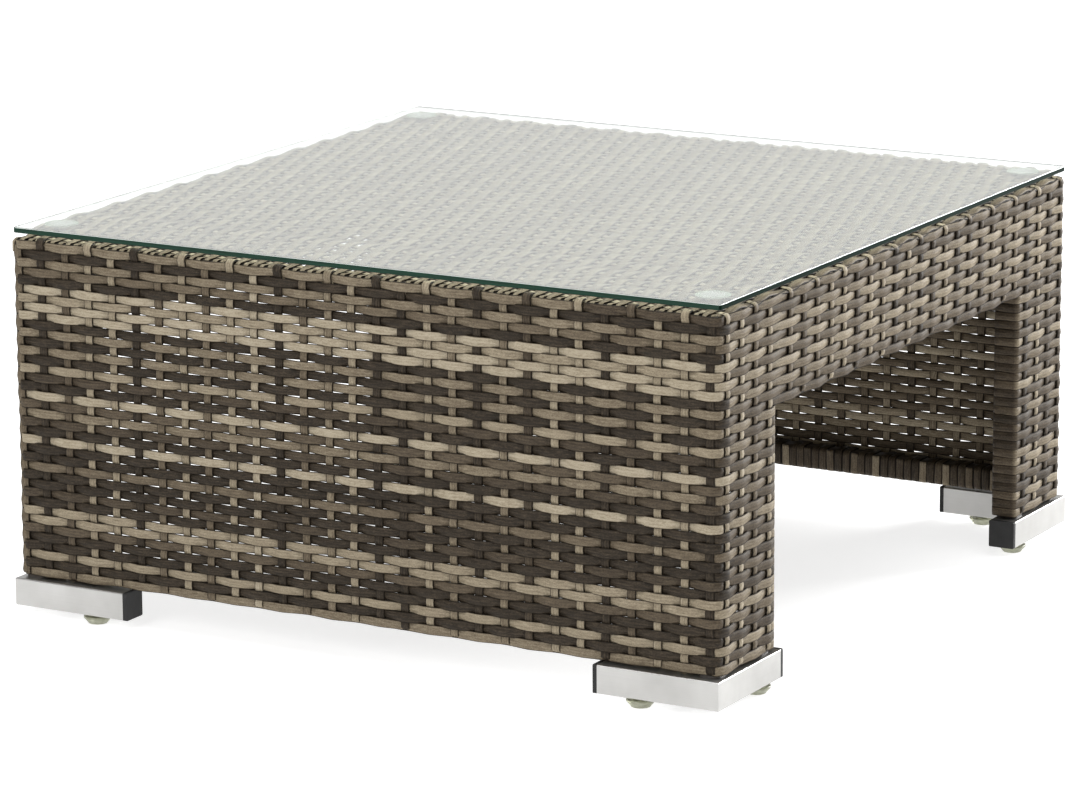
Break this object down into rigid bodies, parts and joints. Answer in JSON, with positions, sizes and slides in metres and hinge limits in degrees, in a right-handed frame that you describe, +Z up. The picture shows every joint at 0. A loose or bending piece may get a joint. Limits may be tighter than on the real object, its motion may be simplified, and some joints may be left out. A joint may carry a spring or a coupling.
{
  "type": "wicker coffee table",
  "caption": "Low square woven-cane garden table with closed front and back, open sides, loose glass top and L-shaped metal feet on levelling glides.",
  "frame": {"origin": "middle of the table on the floor, under the centre of the body", "axes": "+X to the right along the closed front, +Y from the front to the back, +Z up"},
  "size_m": [0.702, 0.71, 0.35],
  "materials": {
    "cane": "woven flat strips of mixed brown and grey, lightly grained",
    "frame_tube": "dark brown powder coat",
    "glass": "clear tempered plate with a green edge",
    "clear_disc": "clear soft vinyl",
    "foot_metal": "satin, lightly brushed along the tube",
    "end_cap": "black moulded",
    "glide_pad": "translucent moulded, pale yellow-green",
    "zinc": "yellow-passivated zinc"
  },
  "bodies": {
    "table": {"corner_post_front_left": "frame_tube", "corner_post_front_right": "frame_tube", "corner_post_back_left": "frame_tube", "corner_post_back_right": "frame_tube", "leg_post_front_left": "frame_tube", "leg_post_front_right": "frame_tube", "leg_post_back_left": "frame_tube", "leg_post_back_right": "frame_tube", "leg_rail_front_left": "frame_tube", "leg_rail_front_right": "frame_tube", "leg_rail_back_left": "frame_tube", "leg_rail_back_right": "frame_tube", "top_rail_front": "frame_tube", "top_rail_back": "frame_tube", "top_rail_left": "frame_tube", "top_rail_right": "frame_tube", "bottom_rail_front": "frame_tube", "bottom_rail_back": "frame_tube", "apron_rail_left": "frame_tube", "apron_rail_right": "frame_tube", "top_brace_front": "frame_tube", "top_brace_back": "frame_tube", "woven_panel_front": "cane", "woven_panel_back": "cane", "woven_leg_front_left": "cane", "woven_leg_front_right": "cane", "woven_leg_back_left": "cane", "woven_leg_back_right": "cane", "woven_apron_left": "cane", "woven_apron_right": "cane", "woven_top": "cane", "suction_disc_front_left": "clear_disc", "suction_disc_front_right": "clear_disc", "suction_disc_back_left": "clear_disc", "suction_disc_back_right": "clear_disc", "foot_front_left": "foot_metal", "foot_front_right": "foot_metal", "foot_back_left": "foot_metal", "foot_back_right": "foot_metal", "foot_cap_front_left_x": "end_cap", "foot_cap_front_left_y": "end_cap", "foot_cap_front_right_x": "end_cap", "foot_cap_front_right_y": "end_cap", "foot_cap_back_left_x": "end_cap", "foot_cap_back_left_y": "end_cap", "foot_cap_back_right_x": "end_cap", "foot_cap_back_right_y": "end_cap", "glide_inserts": "zinc", "foot_bolts": "zinc", "rail_nuts": "zinc"},
    "glass": {"glass_top": "glass"},
    "leveller_front_left_x": {"glide_front_left_x": "glide_pad"},
    "leveller_front_left_y": {"glide_front_left_y": "glide_pad"},
    "leveller_front_right_x": {"glide_front_right_x": "glide_pad"},
    "leveller_front_right_y": {"glide_front_right_y": "glide_pad"},
    "leveller_back_left_x": {"glide_back_left_x": "glide_pad"},
    "leveller_back_left_y": {"glide_back_left_y": "glide_pad"},
    "leveller_back_right_x": {"glide_back_right_x": "glide_pad"},
    "leveller_back_right_y": {"glide_back_right_y": "glide_pad"}
  },
  "joints": [
    {"name": "glass_lift", "type": "slide", "parent": "table", "child": "glass", "axis": [0, 0, 1], "range_m": [0, 0.15]},
    {"name": "level_front_left_x", "type": "slide", "parent": "table", "child": "leveller_front_left_x", "axis": [0, 0, -1], "range_m": [0, 0.008]},
    {"name": "level_front_left_y", "type": "slide", "parent": "table", "child": "leveller_front_left_y", "axis": [0, 0, -1], "range_m": [0, 0.008]},
    {"name": "level_front_right_x", "type": "slide", "parent": "table", "child": "leveller_front_right_x", "axis": [0, 0, -1], "range_m": [0, 0.008]},
    {"name": "level_front_right_y", "type": "slide", "parent": "table", "child": "leveller_front_right_y", "axis": [0, 0, -1], "range_m": [0, 0.008]},
    {"name": "level_back_left_x", "type": "slide", "parent": "table", "child": "leveller_back_left_x", "axis": [0, 0, -1], "range_m": [0, 0.008]},
    {"name": "level_back_left_y", "type": "slide", "parent": "table", "child": "leveller_back_left_y", "axis": [0, 0, -1], "range_m": [0, 0.008]},
    {"name": "level_back_right_x", "type": "slide", "parent": "table", "child": "leveller_back_right_x", "axis": [0, 0, -1], "range_m": [0, 0.008]},
    {"name": "level_back_right_y", "type": "slide", "parent": "table", "child": "leveller_back_right_y", "axis": [0, 0, -1], "range_m": [0, 0.008]}
  ]
}
